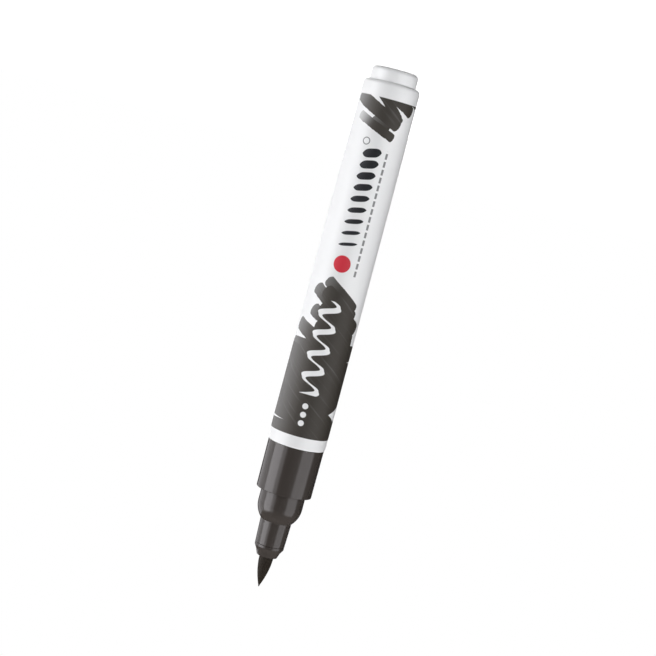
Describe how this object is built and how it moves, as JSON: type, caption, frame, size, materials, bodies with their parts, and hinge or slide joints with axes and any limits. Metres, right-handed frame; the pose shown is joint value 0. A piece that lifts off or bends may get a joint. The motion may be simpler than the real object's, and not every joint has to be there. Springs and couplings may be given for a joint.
{
  "type": "brush marker pen",
  "caption": "Uncapped brush marker: tapered white barrel with tail plug, dark grip with bullet collar and neck, nozzle, flexible pointed brush, reservoir inside.",
  "frame": {"origin": "centre of the tail plug's flat end face, which the pen stands on", "axes": "+Z along the pen from the tail to the tip of the brush; the pen is round, so +X is any direction across it, and the brush bends in the X-Z plane"},
  "size_m": [0.015, 0.015, 0.1358],
  "materials": {
    "white_plastic": "smooth satin-gloss white polypropylene with a printed dark pattern on the barrel",
    "dark_plastic": "smooth glossy warm dark grey moulding",
    "brush_fibre": "matt bundle of fine dark fibres",
    "inked_fibre": "ink-soaked pressed fibre",
    "clear_film": "thin clear wrapping film"
  },
  "bodies": {
    "pen_body": {"barrel": "white_plastic", "tail_plug": "white_plastic", "grip_section": "dark_plastic", "brush_holder": "dark_plastic", "brush_root": "brush_fibre", "feed_wick": "inked_fibre", "reservoir_core": "inked_fibre", "reservoir_wrap": "clear_film"},
    "brush": {"brush_tip": "brush_fibre"}
  },
  "joints": [
    {"name": "tip_bend", "type": "hinge", "parent": "pen_body", "child": "brush", "pos_m": [0, 0, 0.12745], "axis": [0, 1, 0], "range_deg": [-30, 30], "stiffness_Nm_per_rad": 0.006}
  ]
}
